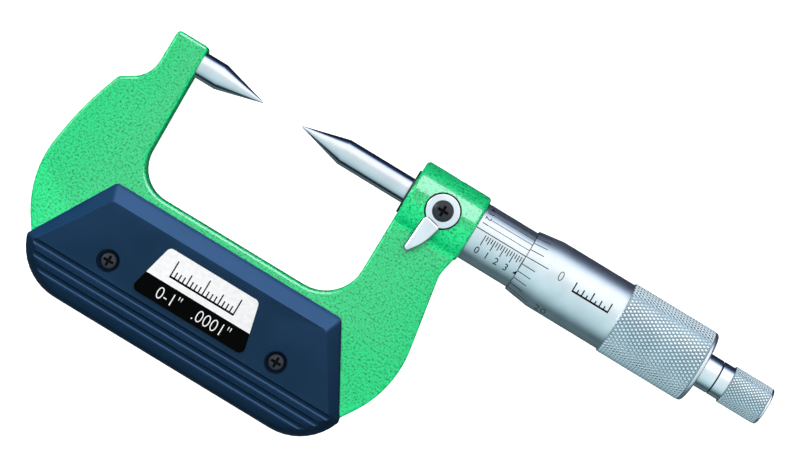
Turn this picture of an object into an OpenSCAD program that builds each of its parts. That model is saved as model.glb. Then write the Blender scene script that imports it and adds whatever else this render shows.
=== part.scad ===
// Outside micrometer with pointed faces, 0 to 25.4 mm, friction stop and lever lock.
// The origin is the tip of the anvil. X runs along the measuring axis from anvil to
// thimble, Y points from the bow of the frame to the axis and Z out of the front face.

/* [Measuring] */
// Gap between the two points as drawn
reading = 10.16; // [0:0.254:25.4]
// Longest gap that can be measured
measuring_range = 25.4; // [20:0.2:25.4]
// Advance of the spindle in one turn
pitch = 0.635; // [0.5:0.005:0.7]
// Diameter of the spindle and of the anvil
spindle_d = 6.35; // [6:0.05:6.5]
// Full angle of the measuring points
point_angle = 30; // [28:1:45]
// Radius of the rounded tip of each point
tip_r = 0.3; // [0.2:0.05:0.5]

/* [Frame] */
// Thickness of the frame
frame_t = 8; // [7.8:0.1:9]
// Distance from the anvil tip back to the throat wall that holds the anvil
anvil_reach = 16.9; // [16:0.1:18]
// Distance from the anvil tip to the throat wall that holds the sleeve
sleeve_reach = 39.2; // [38.8:0.1:39.6]
// Depth of the throat below the measuring axis
throat_depth = 31; // [28:0.5:31]
// Radius of the two inner corners of the throat
throat_r = 8.4; // [5:0.2:12]
// Diameter of the boss round the spindle
boss_d = 16.8; // [16.6:0.1:17.4]
// Length of the boss round the spindle
boss_l = 17.05; // [17:0.01:17.1]

/* [Grips] */
// Distance from the mid plane to the outer face of each grip
grip_z = 7.6; // [7.4:0.1:8.2]
// Width of the grips along their top edge
grip_top_w = 59.6; // [58:0.2:60]
// Depth of the grooves in the lower part of the grips
groove_depth = 0.5; // [0.3:0.05:0.6]
// Distance between neighbouring grooves
groove_pitch = 2.5; // [2.3:0.1:2.5]

/* [Barrel] */
// Outer diameter of the graduated sleeve
sleeve_d = 14.3; // [14:0.05:14.3]
// Diameter of the plain part of the thimble
thimble_d = 17; // [16.6:0.1:17.4]
// Diameter over the knurled grip of the thimble
knurl_d = 17.9; // [17.4:0.1:18.4]
// Diameter over the knurl of the friction knob
knob_d = 9.3; // [9:0.1:10]

/* [Lock] */
// Length of the lock lever from its pivot to the tip
lever_l = 12.5; // [11:0.1:13]
// Outer diameter of the ring of the lock lever
lever_ring_d = 8.12; // [7.8:0.02:8.4]

/* [Fits] */
// Radial clearance of turning and sliding fits
run_gap = 0.04; // [0.02:0.01:0.08]
// Radial clearance between pieces that are fixed together
fixed_gap = 0.01; // [0.005:0.005:0.02]

/* [Hidden] */
$fn = 96;
eps = 0.01;
past = 1;
arc_steps = 8;

// Frame
half_t = frame_t / 2;
boss_r = boss_d / 2;
boss_x0 = sleeve_reach;
boss_x1 = boss_x0 + boss_l;
anvil_boss_w = 8.1;
anvil_boss_top = 4.3;
bow_bottom = -60.8;
edge_r = 0.9;
spindle_r = spindle_d / 2;
point_l = (spindle_r - tip_r * cos(point_angle / 2)) / tan(point_angle / 2)
    + tip_r * (1 - sin(point_angle / 2));
anvil_seat_l = 7.1;
anvil_seat_r = 2.9;

// Inner sleeve, nut and outer sleeve
sleeve_fit_r = 5.5;
nose_l = 0.45;
guide_x1 = 50;
nut_bore_x0 = 78;
inner_x1 = 94;
taper_x0 = 88.4;
taper_r1 = 5.1;
slit_x0 = 82;
slit_w = 0.5;
outer_x0 = boss_x1 + 0.05;
outer_x1 = 88;
spanner_hole_r = 0.6;
spanner_hole_x = 64.5;
nut_r = 6.6;
nut_l = 4.6;
nut_slot_w = 1.6;
nut_slot_depth = 0.9;

// Spindle
thread_r = 3.5;
thread_depth = 0.36;
thread_x0 = reading + 50.34;
thread_turns = round(measuring_range / pitch) + 23;
thread_x1 = thread_x0 + thread_turns * pitch;
relief_l = 1.2;
relief_r = 2.9;
seat_x0 = reading + 97.34;
seat_x1 = reading + 106.44;
seat_r0 = 4.4;
seat_r1 = 3.4;
collar_l = 3.2;

// Thimble
thimble_x0 = reading + 59.14;
thimble_bore_r = sleeve_d / 2 + 0.1;
bevel_l = 6.1;
bevel_edge = 0.37;
knurl_x0 = thimble_x0 + 25.6;
thimble_x1 = thimble_x0 + 47.6;
thimble_round = 1.3;

// Friction stop
ratchet_seat_r = 4.2;
ratchet_seat_l = 3.9;
ratchet_gap = 0.4;
ratchet_boss_r = 3.2;
ratchet_x0 = thimble_x1;
ratchet_boss_x1 = ratchet_x0 + ratchet_seat_l + ratchet_gap;
stem_r = 1.7;
shoulder_r = 2.3;
knob_x0 = ratchet_boss_x1 + 0.05;
knob_collar_l = 2.8;
knob_x1 = knob_x0 + 13.1;
knob_wall_l = 2.2;
chamber_r = 3.3;
shoulder_x1 = knob_x1 - 3.85;
screw_head_l = 1.6;
screw_head_r = 3.1;
cap_l = 1.35;
cap_r = 3.6;
washer_t = 0.35;
spring_wire_r = 0.2;
spring_r = 2.8;
spring_turns = 6;

// Lock
lock_x = boss_x0 + 8.7;
lock_angle = 12.6;
stud_r = 2;
spot_r = 4.6;
spot_z = 7;
lever_z0 = 7.1;
lever_ring_t = 2.1;
lever_ring_z1 = lever_z0 + lever_ring_t;
blade_z0 = boss_r + 0.2;
blade_z1 = 10.1;
blade_start = 3.2;
pad_r = 1.6;
stud_z0 = 4.2;
stud_top_r = 1.6;

// Small screws
tapped_r = 1.25;
grub_z1 = 7.5;
pan_r = 2.48;
pan_t = 1.35;
grip_head_r = 2.3;
grip_head_t = 1.5;
grip_sink_r = 2.7;
grip_screw_y = -48.9;
cross_w = 0.6;
cross_depth = 0.8;

// Grips
grip_cx = (boss_x0 - anvil_reach) / 2;
grip_top_y = -32.8;
grip_side_y = -53.2;
grip_bottom_y = -63;
grip_side_w = 83;
grip_bottom_w = 76.6;
grip_corner_r = 12.5;
grip_edge_z = 4.7;
grip_round = 3.4;
bevel_top_w = 3.9;
bevel_side_w = 2.7;
groove_y0 = -53.7;
groove_r = 0.85;
grip_screw_dx = 22.2;
label_t = 0.25;
label_sink = 0.15;

// ---- helpers ----

function unit(v) = v / norm(v);

// Points of one rounded corner at q, between the neighbours p and s
function corner(p, q, s, r) =
    let (
        a = unit(p - q),
        b = unit(s - q),
        half = acos(a * b) / 2,
        centre = q + unit(a + b) * r / sin(half),
        from = q + a * r / tan(half) - centre,
        to = q + b * r / tan(half) - centre,
        sweep = atan2(cross(from, to), from * to),
        start = atan2(from.y, from.x)
    )
    [
        for (k = [0:arc_steps])
            let (turn = start + sweep * k / arc_steps)
            centre + r * [cos(turn), sin(turn)]
    ];

// Outline through a closed list of [x, y, radius] corners
function rounded(c) = [
    for (i = [0:len(c) - 1])
        let (
            p = c[(i + len(c) - 1) % len(c)],
            q = c[i],
            s = c[(i + 1) % len(c)]
        )
        each q[2] == 0 ? [[q.x, q.y]]
            : corner([p.x, p.y], [q.x, q.y], [s.x, s.y], q[2])
];

// Profile of a pointed end, as [radius, distance behind the tip]
function point_profile() = [
    for (a = [90:-15:point_angle / 2])
        [tip_r * cos(a), tip_r * (1 - sin(a))],
    [spindle_r, point_l]
];

// Solid of revolution about the X axis, from [radius, x] points
module turned(points) rotate([0, 90, 0]) rotate_extrude() polygon(points);

// Cylinder along X
module bar_x(x0, x1, r) translate([x0, 0, 0]) rotate([0, 90, 0]) cylinder(r = r, h = x1 - x0);

// Cylinder along Z at a given place
module bar_z(x, y, z0, z1, r) translate([x, y, z0]) cylinder(r = r, h = z1 - z0);

// Closed skin through a row of rings with the same number of points
module loft(rings) {
    n = len(rings[0]);
    last = (len(rings) - 1) * n;
    polyhedron(
        points = [for (ring = rings) each ring],
        faces = [
            [for (k = [0:n - 1]) k],
            for (i = [0:len(rings) - 2], k = [0:n - 1])
                let (a = i * n + k, b = i * n + (k + 1) % n)
                each [[a, a + n, b + n], [a, b + n, b]],
            [for (k = [n - 1:-1:0]) last + k]
        ]
    );
}

// Cross recess with its mouth at the height z
module cross_recess(z, size) {
    for (a = [0, 90])
        rotate(a) translate([-size / 2, -cross_w / 2, z - cross_depth])
            cube([size, cross_w, cross_depth + past]);
}

// Places its children at both screw positions of the grips
module at_grip_screws() {
    for (side = [-1, 1])
        translate([grip_cx + side * grip_screw_dx, grip_screw_y, 0]) children();
}

// ---- frame group ----

// Outer corners of the bow, from the anvil boss round to the spindle boss
function frame_corners() = [
    [-anvil_reach - anvil_boss_w, anvil_boss_top, edge_r],
    [-anvil_reach, anvil_boss_top, edge_r],
    [-anvil_reach, -throat_depth, throat_r],
    [boss_x0, -throat_depth, throat_r],
    [boss_x0, 2, 0],
    [boss_x1, 2, 0],
    [boss_x1, -6, 6],
    [boss_x1 - 1.45, -12.6, 8],
    [boss_x1 + 3.55, -40.9, 26],
    [boss_x1 - 9.85, bow_bottom, 12],
    [-anvil_reach - 7.2, bow_bottom, 12],
    [-anvil_reach - 20.8, -41.4, 26],
    [-anvil_reach - 17.86, -22.1, 75],
    [-anvil_reach - 14.2, -11.9, 2],
    [-anvil_reach - anvil_boss_w, -8, 7]
];

module frame_plate(t) {
    translate([0, 0, -t / 2]) linear_extrude(t) polygon(rounded(frame_corners()));
}

module boss() {
    turned([
        [0, boss_x0], [boss_r - edge_r / 2, boss_x0], [boss_r, boss_x0 + edge_r / 2],
        [boss_r, boss_x1 - edge_r],
        for (a = [22.5:22.5:90])
            [boss_r - edge_r * (1 - cos(a)), boss_x1 - edge_r * (1 - sin(a))],
        [0, boss_x1]
    ]);
}

module frame() {
    color("mediumseagreen") difference() {
        union() {
            frame_plate(frame_t);
            boss();
        }
        bar_x(-anvil_reach - anvil_seat_l, -anvil_reach + past, anvil_seat_r + fixed_gap);
        bar_x(boss_x0 - past, boss_x1 + past, sleeve_fit_r + fixed_gap);
        bar_z(lock_x, 0, sleeve_fit_r - past, boss_r + past, stud_r + run_gap);
        bar_z(lock_x, 0, spot_z, boss_r + past, spot_r);
        translate([lock_x, 0, 0]) rotate([-90, 0, 0])
            translate([0, 0, sleeve_fit_r - past]) cylinder(r = tapped_r + fixed_gap, h = boss_r);
        at_grip_screws() bar_z(0, 0, -frame_t, frame_t, tapped_r + fixed_gap);
    }
}

// Pointed anvil whose stepped shank is pressed into the frame
module anvil() {
    seat_end = anvil_reach + anvil_seat_l - 0.1;
    color("silver") mirror([1, 0, 0]) turned([
        each point_profile(),
        [spindle_r, anvil_reach],
        [anvil_seat_r, anvil_reach],
        [anvil_seat_r, seat_end - 0.4],
        [anvil_seat_r - 0.4, seat_end],
        [0, seat_end]
    ]);
}

// Tube that guides the spindle, with a slit, tapered end that the nut closes on the thread
module inner_sleeve() {
    color("dimgray") difference() {
        turned([
            [0, boss_x0 - nose_l],
            [sleeve_fit_r, boss_x0 - nose_l],
            [sleeve_fit_r, taper_x0 - 0.2],
            [sleeve_fit_r - 0.1, taper_x0],
            [taper_r1, inner_x1],
            [0, inner_x1]
        ]);
        bar_x(boss_x0 - past, guide_x1 + eps, spindle_r + run_gap);
        bar_x(guide_x1, nut_bore_x0, thread_r + 0.3);
        bar_x(nut_bore_x0 - eps, inner_x1 + past, thread_r + run_gap);
        for (a = [30:120:270])
            rotate([a, 0, 0]) translate([slit_x0, -slit_w / 2, 0])
                cube([inner_x1 - slit_x0 + past, slit_w, sleeve_fit_r + past]);
        bar_z(lock_x, 0, 0, sleeve_fit_r + past, stud_r + 0.3);
    }
}

// Ring nut on the tapered end of the inner sleeve
module adjusting_nut() {
    nut_x1 = inner_x1 - 0.6;
    nut_x0 = nut_x1 - nut_l;
    slope = (sleeve_fit_r - 0.1 - taper_r1) / (inner_x1 - taper_x0);
    fit_r0 = taper_r1 + slope * (inner_x1 - nut_x0) + fixed_gap;
    fit_r1 = taper_r1 + slope * (inner_x1 - nut_x1) + fixed_gap;
    color("gray") difference() {
        turned([
            [fit_r0, nut_x0], [nut_r - 0.3, nut_x0], [nut_r, nut_x0 + 0.3],
            [nut_r, nut_x1 - 0.3], [nut_r - 0.3, nut_x1], [fit_r1, nut_x1]
        ]);
        for (a = [0:90:270])
            rotate([a, 0, 0])
                translate([nut_x1 - 1.8, -nut_slot_w / 2, nut_r - nut_slot_depth])
                    cube([3, nut_slot_w, nut_slot_depth + past]);
    }
}

module outer_sleeve() {
    color("gainsboro") difference() {
        turned([
            [sleeve_fit_r + run_gap, outer_x0],
            [sleeve_d / 2, outer_x0],
            [sleeve_d / 2, outer_x1 - 0.3],
            [sleeve_d / 2 - 0.3, outer_x1],
            [sleeve_fit_r + run_gap, outer_x1]
        ]);
        rotate([180, 0, 0]) bar_z(spanner_hole_x, 0, 0, sleeve_d, spanner_hole_r);
    }
}

// Slotted grub screw that holds the inner sleeve in the boss
module sleeve_set_screw() {
    color("dimgray") translate([lock_x, 0, 0]) rotate([-90, 0, 0]) difference() {
        union() {
            translate([0, 0, sleeve_fit_r + 0.5])
                cylinder(r = tapped_r, h = grub_z1 - sleeve_fit_r - 0.5);
            translate([0, 0, sleeve_fit_r + 0.05]) cylinder(r = tapped_r - 0.4, h = 1);
        }
        translate([-2, -0.25, grub_z1 - 0.7]) cube([4, 0.5, past]);
    }
}

// ---- spindle group ----

module spindle() {
    color("silver") difference() {
        turned([
            for (p = point_profile()) [p[0], reading + p[1]],
            [spindle_r, thread_x0 - relief_l],
            [relief_r, thread_x0 - relief_l + 0.2],
            [relief_r, thread_x0 - 0.2],
            for (i = [0:thread_turns - 1]) each [
                [thread_r - thread_depth, thread_x0 + i * pitch],
                [thread_r, thread_x0 + (i + 0.45) * pitch],
                [thread_r, thread_x0 + (i + 0.55) * pitch]
            ],
            [thread_r - thread_depth, thread_x1],
            [relief_r, thread_x1 + 0.2],
            [relief_r, seat_x0 - collar_l],
            [seat_r0, seat_x0 - collar_l + 0.5],
            [seat_r0, seat_x0],
            [seat_r1, seat_x1],
            [0, seat_x1]
        ]);
        bar_x(seat_x0 - 1.5, seat_x1 + past, stem_r + fixed_gap);
    }
}

module thimble() {
    knurl_r = knurl_d / 2;
    color("gainsboro") turned([
        [thimble_bore_r, thimble_x0],
        [thimble_bore_r + bevel_edge, thimble_x0],
        [thimble_d / 2, thimble_x0 + bevel_l],
        [thimble_d / 2, knurl_x0],
        [knurl_r, knurl_x0 + 0.4],
        for (a = [0:22.5:90])
            [knurl_r - thimble_round * (1 - cos(a)), thimble_x1 - thimble_round * (1 - sin(a))],
        [seat_r1 + fixed_gap, thimble_x1],
        [seat_r1 + fixed_gap, seat_x1],
        [seat_r0 + fixed_gap, seat_x0],
        [thimble_bore_r, seat_x0]
    ]);
}

// Fixed collar that clamps the thimble on the taper of the spindle
module ratchet_seat() {
    x1 = ratchet_x0 + ratchet_seat_l;
    color("silver") turned([
        [stem_r + fixed_gap, ratchet_x0],
        [ratchet_seat_r - 0.3, ratchet_x0],
        [ratchet_seat_r, ratchet_x0 + 0.3],
        [ratchet_seat_r, x1 - 0.3],
        [ratchet_seat_r - 0.3, x1],
        [ratchet_boss_r, x1],
        [ratchet_boss_r, ratchet_boss_x1],
        [stem_r + fixed_gap, ratchet_boss_x1]
    ]);
}

// Shoulder screw that carries the knob and clamps the collar to the spindle
module ratchet_screw() {
    color("dimgray") difference() {
        turned([
            [0, seat_x0 - 0.5],
            [stem_r - 0.3, seat_x0 - 0.5],
            [stem_r, seat_x0 - 0.2],
            [stem_r, ratchet_boss_x1],
            [shoulder_r, ratchet_boss_x1],
            [shoulder_r, shoulder_x1],
            [screw_head_r, shoulder_x1],
            [screw_head_r, shoulder_x1 + screw_head_l],
            [0, shoulder_x1 + screw_head_l]
        ]);
        translate([shoulder_x1 + screw_head_l - 0.7, -0.4, -chamber_r])
            cube([past, 0.8, 2 * chamber_r]);
    }
}

module ratchet_washer() {
    x1 = shoulder_x1 - 0.05;
    color("silver") turned([
        [shoulder_r + run_gap, x1 - washer_t],
        [screw_head_r, x1 - washer_t],
        [screw_head_r, x1],
        [shoulder_r + run_gap, x1]
    ]);
}

// Compression spring between the front wall of the knob and the washer
module ratchet_spring() {
    sides = 8;
    per_turn = 20;
    x0 = knob_x0 + knob_wall_l + spring_wire_r + 0.05;
    x1 = shoulder_x1 - 0.1 - washer_t - spring_wire_r;
    steps = spring_turns * per_turn;
    color("gray") loft([
        for (i = [0:steps])
            let (turn = 360 * i / per_turn, x = x0 + (x1 - x0) * i / steps)
            [
                for (side = [0:360 / sides:359])
                    let (r = spring_r + spring_wire_r * cos(side))
                    [x + spring_wire_r * sin(side), r * cos(turn), r * sin(turn)]
            ]
    ]);
}

module ratchet_knob() {
    knob_r = knob_d / 2;
    neck_x = knob_x0 + knob_collar_l;
    color("gainsboro") turned([
        [shoulder_r + run_gap, knob_x0],
        [ratchet_seat_r - 0.3, knob_x0],
        [ratchet_seat_r, knob_x0 + 0.3],
        [ratchet_seat_r, neck_x],
        [knob_r - 0.3, neck_x],
        [knob_r, neck_x + 0.3],
        [knob_r, knob_x1 - 0.7],
        [knob_r - 0.2, knob_x1 - 0.2],
        [knob_r - 0.7, knob_x1],
        [cap_r, knob_x1],
        [cap_r, knob_x1 - cap_l - 0.05],
        [chamber_r, knob_x1 - cap_l - 0.05],
        [chamber_r, knob_x0 + knob_wall_l],
        [shoulder_r + run_gap, knob_x0 + knob_wall_l]
    ]);
}

module ratchet_cap() {
    r = cap_r - fixed_gap;
    color("gainsboro") turned([
        [0, knob_x1 - cap_l], [r, knob_x1 - cap_l], [r, knob_x1 - 0.2], [r - 0.3, knob_x1],
        [0, knob_x1]
    ]);
}

// ---- lock group ----

module lock_stud() {
    color("dimgray") difference() {
        union() {
            bar_z(lock_x, 0, stud_z0, lever_z0 - 0.05, stud_r);
            bar_z(lock_x, 0, stud_z0, lever_ring_z1 - 0.1, stud_top_r);
        }
        bar_z(lock_x, 0, stud_z0 + 0.8, lever_ring_z1, 0.8 + fixed_gap);
    }
}

// Brass pad between the stud and the spindle
module lock_pad() {
    color("goldenrod") difference() {
        bar_z(lock_x, 0, 2.6, stud_z0 - 0.1, pad_r);
        bar_x(lock_x - 3, lock_x + 3, spindle_r + 0.02);
    }
}

// Outline of the blade about the pivot, as it stands when locked
function blade_corners() = [
    [-2.9, -0.5, 0],
    [1.9, -0.5, 0],
    [1.9, -1.8, 0],
    [0.22, -8.46, 12],
    [-3.66, -lever_l - 1.4, 0.8]
];

module lock_lever() {
    color("gainsboro") translate([lock_x, 0, 0]) difference() {
        union() {
            bar_z(0, 0, lever_z0, lever_ring_z1, lever_ring_d / 2);
            difference() {
                translate([0, 0, blade_z0]) linear_extrude(blade_z1 - blade_z0)
                    polygon(rounded(blade_corners()));
                rotate(-lock_angle) translate([-10, -blade_start, 0]) cube(20);
            }
        }
        bar_z(0, 0, 0, lever_ring_z1 + past, stud_top_r + fixed_gap);
    }
}

// Low domed screw head with a cross recess, its underside at z = 0
module domed_head(r, t) {
    difference() {
        rotate_extrude() polygon([
            [0, 0], [r, 0], [r, t * 0.35],
            for (a = [15:15:90]) [r * cos(a), t * (0.35 + 0.65 * sin(a))]
        ]);
        cross_recess(t, r);
    }
}

module lock_lever_screw() {
    color("black") translate([lock_x, 0, 0]) {
        translate([0, 0, lever_ring_z1 + 0.02]) domed_head(pan_r, pan_t);
        bar_z(0, 0, stud_z0 + 1.2, lever_ring_z1 + 0.1, 0.8);
    }
}

// ---- grips ----

// Outline of a grip, clockwise from its upper right corner
function grip_corners() = [
    [grip_cx + grip_top_w / 2, grip_top_y, 1.5],
    [grip_cx + grip_side_w / 2, grip_side_y, 1],
    [grip_cx + grip_bottom_w / 2, grip_bottom_y, grip_corner_r],
    [grip_cx - grip_bottom_w / 2, grip_bottom_y, grip_corner_r],
    [grip_cx - grip_side_w / 2, grip_side_y, 1],
    [grip_cx - grip_top_w / 2, grip_top_y, 1.5]
];

// Upright section of a grip as [y, z]: bevel at the top, rounded lower edge
function grip_section() = [
    [grip_top_y, 0.02],
    [grip_top_y, grip_edge_z],
    [grip_top_y - bevel_top_w, grip_z],
    for (a = [90:-15:0])
        [grip_bottom_y + grip_round * (1 - cos(a)), grip_z - grip_round * (1 - sin(a))],
    [grip_bottom_y, 0.02]
];

// Block that bevels the edge running from corner p to corner q of the outline
module edge_bevel(p, q, width) {
    rise = grip_z - grip_edge_z;
    translate([p.x, p.y, grip_edge_z]) rotate(atan2(q.y - p.y, q.x - p.x))
        rotate([atan2(width, rise), 0, 0]) translate([-40, 0, 0]) cube([120, 20, 20]);
}

// Outer form of one grip, before it is hollowed for the frame
module grip_form() {
    c = grip_corners();
    low = [grip_cx + grip_bottom_w / 2 + 0.5, grip_side_y - 5.8];
    difference() {
        intersection() {
            linear_extrude(grip_z) polygon(rounded(c));
            translate([grip_cx - grip_side_w, 0, 0]) rotate([90, 0, 90])
                linear_extrude(2 * grip_side_w) polygon(grip_section());
        }
        for (side = [0, 1])
            translate([grip_cx, 0, 0]) mirror([side, 0, 0]) translate([-grip_cx, 0, 0]) {
                edge_bevel(c[0], c[1], bevel_side_w);
                edge_bevel(low, low - [10, 7.6], bevel_side_w);
            }
    }
}

function label_corners() = [
    [grip_cx - 11.7, -39, 1.2],
    [grip_cx + 11.9, -39, 1.2],
    [grip_cx + 15.05, -51.45, 1.4],
    [grip_cx - 14.8, -51.45, 1.4]
];

// One half of the grip, on the +Z side of the frame
module grip() {
    difference() {
        grip_form();
        translate([0, 0, -past]) linear_extrude(half_t + past + 0.03)
            polygon(rounded(frame_corners()));
        at_grip_screws() bar_z(0, 0, 0, grip_z + past, tapped_r + 0.2);
        at_grip_screws() bar_z(0, 0, grip_z - grip_head_t - 0.6, grip_z + past, grip_sink_r);
        for (i = [0:2])
            translate([grip_cx, groove_y0 - i * groove_pitch, grip_z - groove_depth + groove_r])
                rotate([0, 90, 0]) cylinder(r = groove_r, h = 2 * grip_side_w, center = true);
    }
}

module front_grip() {
    color("darkslateblue") difference() {
        grip();
        translate([0, 0, grip_z - label_sink]) linear_extrude(past)
            polygon(rounded(label_corners()));
    }
}

module back_grip() {
    color("darkslateblue") mirror([0, 0, 1]) grip();
}

module label_plate() {
    color("white") translate([0, 0, grip_z - label_sink]) linear_extrude(label_t)
        polygon(rounded(label_corners()));
}

module grip_screws() {
    head_z = grip_z - grip_head_t - 0.6 + 0.01;
    color("black") at_grip_screws() {
        translate([0, 0, head_z]) domed_head(grip_head_r, grip_head_t);
        bar_z(0, 0, 0.3, head_z + 0.1, tapped_r);
    }
}

module front_grip_screws() grip_screws();

module back_grip_screws() mirror([0, 0, 1]) grip_screws();

frame();
anvil();
inner_sleeve();
adjusting_nut();
outer_sleeve();
sleeve_set_screw();
spindle();
thimble();
ratchet_seat();
ratchet_screw();
ratchet_washer();
ratchet_spring();
ratchet_knob();
ratchet_cap();
lock_stud();
lock_pad();
lock_lever();
lock_lever_screw();
front_grip();
back_grip();
front_grip_screws();
back_grip_screws();
label_plate();
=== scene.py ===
"""Visual model of an outside micrometer with pointed faces, built round its CAD frame.

Every length in the dataclasses is in millimetres and becomes metres through MM. X runs
along the measuring axis from anvil to thimble, Y from the bow to the axis and Z out of
the labelled face.
"""
import logging
import math
from contextlib import contextmanager
from dataclasses import dataclass
from enum import Enum
from typing import Callable, Iterator, NamedTuple, Sequence

import bpy
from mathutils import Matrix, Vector


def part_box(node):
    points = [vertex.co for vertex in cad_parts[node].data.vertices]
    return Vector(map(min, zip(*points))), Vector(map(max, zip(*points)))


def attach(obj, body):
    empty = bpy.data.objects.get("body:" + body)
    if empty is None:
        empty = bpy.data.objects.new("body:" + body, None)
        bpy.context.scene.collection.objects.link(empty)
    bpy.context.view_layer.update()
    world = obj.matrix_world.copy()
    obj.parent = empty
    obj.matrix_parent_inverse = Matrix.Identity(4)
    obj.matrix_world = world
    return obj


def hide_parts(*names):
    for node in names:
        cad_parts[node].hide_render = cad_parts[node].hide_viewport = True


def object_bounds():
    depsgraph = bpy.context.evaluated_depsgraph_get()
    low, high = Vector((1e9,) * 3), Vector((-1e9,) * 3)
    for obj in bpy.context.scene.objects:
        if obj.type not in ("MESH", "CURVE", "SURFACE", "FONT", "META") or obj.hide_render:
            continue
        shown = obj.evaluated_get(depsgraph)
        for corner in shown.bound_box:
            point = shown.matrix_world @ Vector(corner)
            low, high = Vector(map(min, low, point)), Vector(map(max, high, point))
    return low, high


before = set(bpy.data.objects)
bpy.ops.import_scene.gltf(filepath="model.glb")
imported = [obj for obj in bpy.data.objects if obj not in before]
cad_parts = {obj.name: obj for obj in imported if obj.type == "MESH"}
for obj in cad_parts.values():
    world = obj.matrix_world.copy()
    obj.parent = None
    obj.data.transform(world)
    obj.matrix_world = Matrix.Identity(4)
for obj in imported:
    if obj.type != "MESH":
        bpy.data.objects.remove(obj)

log = logging.getLogger("micrometer")
CAD_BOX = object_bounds()
MM = 0.001
MERGE = 0.0005 * MM
ROUND_STEPS = 128
INK_DEPTH = 0.02
SLICE = 0.3
CAP_HEIGHT = 0.71

Piece = bpy.types.Object
Socket = bpy.types.NodeSocket
Triple = tuple[float, float, float]


class Corner(NamedTuple):
    """One corner of an outline or a profile, with the radius of its rounding."""

    x: float
    y: float
    radius: float = 0.0


class Body(Enum):
    """The moving groups of the instrument."""

    FRAME = "frame"
    SLEEVE = "sleeve"
    SPINDLE = "spindle"
    RATCHET = "ratchet"
    LOCK = "lock"


class Axis(Enum):
    """Directions in which a drill or a bar can lie, as Euler turns of a Z cylinder."""

    X = (0.0, math.pi / 2, 0.0)
    Y = (-math.pi / 2, 0.0, 0.0)
    Z = (0.0, 0.0, 0.0)


# ---------------------------------------------------------------- outlines


def round_corner(before: Vector, at: Vector, after: Vector, radius: float, steps: int) -> list[Vector]:
    """Points of the arc that rounds one corner.

    Args:
        before: The corner before this one.
        at: The corner to round.
        after: The corner after this one.
        radius: Radius of the arc.
        steps: Number of segments in the arc.

    Returns:
        The points from one tangent point to the other.
    """
    to_before = (before - at).normalized()
    to_after = (after - at).normalized()
    half = to_before.angle(to_after) / 2
    reach = radius / math.tan(half)
    centre = at + (to_before + to_after).normalized() * radius / math.sin(half)
    first = at + to_before * reach - centre
    last = at + to_after * reach - centre
    sweep = math.atan2(first.x * last.y - first.y * last.x, first.dot(last))
    start = math.atan2(first.y, first.x)
    angles = [start + sweep * k / steps for k in range(steps + 1)]
    return [centre + radius * Vector((math.cos(a), math.sin(a))) for a in angles]


def rounded(corners: Sequence[Corner], steps: int = 6) -> list[tuple[float, float]]:
    """Closed outline through corners, each rounded by its own radius.

    Args:
        corners: The corners in order.
        steps: Segments in each rounding.

    Returns:
        The outline's points, in the corners' own units.
    """
    points: list[tuple[float, float]] = []
    for i, corner in enumerate(corners):
        at = Vector((corner.x, corner.y))
        if corner.radius == 0:
            points.append((at.x, at.y))
            continue
        before, after = corners[i - 1], corners[(i + 1) % len(corners)]
        arc = round_corner(Vector(before[:2]), at, Vector(after[:2]), corner.radius, steps)
        points.extend((p.x, p.y) for p in arc)
    return points


# ---------------------------------------------------------------- modelling tools


def activate(piece: Piece) -> None:
    """Leaves only this piece selected and active."""
    bpy.ops.object.select_all(action="DESELECT")
    piece.select_set(True)
    bpy.context.view_layer.objects.active = piece


@contextmanager
def editing(piece: Piece, mode: str = "FACE", everything: bool = False) -> Iterator[None]:
    """Edit mode on one piece.

    Args:
        piece: The piece to edit.
        mode: What is selected: VERT, EDGE or FACE.
        everything: Whether to select the whole mesh first.
    """
    activate(piece)
    bpy.ops.object.mode_set(mode="EDIT")
    bpy.ops.mesh.select_mode(type=mode)
    if everything:
        bpy.ops.mesh.select_all(action="SELECT")
    yield
    bpy.ops.object.mode_set(mode="OBJECT")


def pick(piece: Piece, faces: Callable | None = None, edges: Callable | None = None) -> None:
    """Selects faces or edges of a mesh in object mode, by a test on each.

    Args:
        piece: The piece whose mesh is searched.
        faces: Test on a polygon.
        edges: Test on an edge.
    """
    mesh = piece.data
    for parts in (mesh.vertices, mesh.edges, mesh.polygons):
        parts.foreach_set("select", [False] * len(parts))
    for parts, test in ((mesh.polygons, faces), (mesh.edges, edges)):
        for part in parts if test else ():
            part.select = bool(test(part))


def drawn_ring(name: str, points: Sequence[Sequence[float]], filled: bool = True) -> Piece:
    """A disc or hoop whose rim is drawn out to the given points.

    Args:
        name: Name of the piece.
        points: Rim points in metres.
        filled: Whether the ring has a face.

    Returns:
        The new piece.
    """
    bpy.ops.object.select_all(action="DESELECT")
    bpy.ops.mesh.primitive_circle_add(
        vertices=len(points), radius=MM, fill_type="NGON" if filled else "NOTHING"
    )
    ring = bpy.context.object
    ring.name = name
    for vertex, point in zip(ring.data.vertices, points):
        vertex.co = point
    return ring


def extrude(plate: Piece, offset: Sequence[float]) -> None:
    """Draws a flat plate out into a closed solid.

    Args:
        plate: The plate.
        offset: How far and which way, in metres.
    """
    with editing(plate, everything=True):
        bpy.ops.mesh.extrude_region_move(TRANSFORM_OT_translate={"value": offset})
        bpy.ops.mesh.select_all(action="SELECT")
        bpy.ops.mesh.normals_make_consistent(inside=False)


def prism(name: str, outline: Sequence[Sequence[float]], low: float, high: float) -> Piece:
    """An outline in X and Y given a thickness along Z.

    Args:
        name: Name of the piece.
        outline: Points in millimetres.
        low: Lower face in millimetres.
        high: Upper face in millimetres.

    Returns:
        The closed prism.
    """
    plate = drawn_ring(name, [(x * MM, y * MM, low * MM) for x, y in outline])
    extrude(plate, (0, 0, (high - low) * MM))
    return plate


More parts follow.
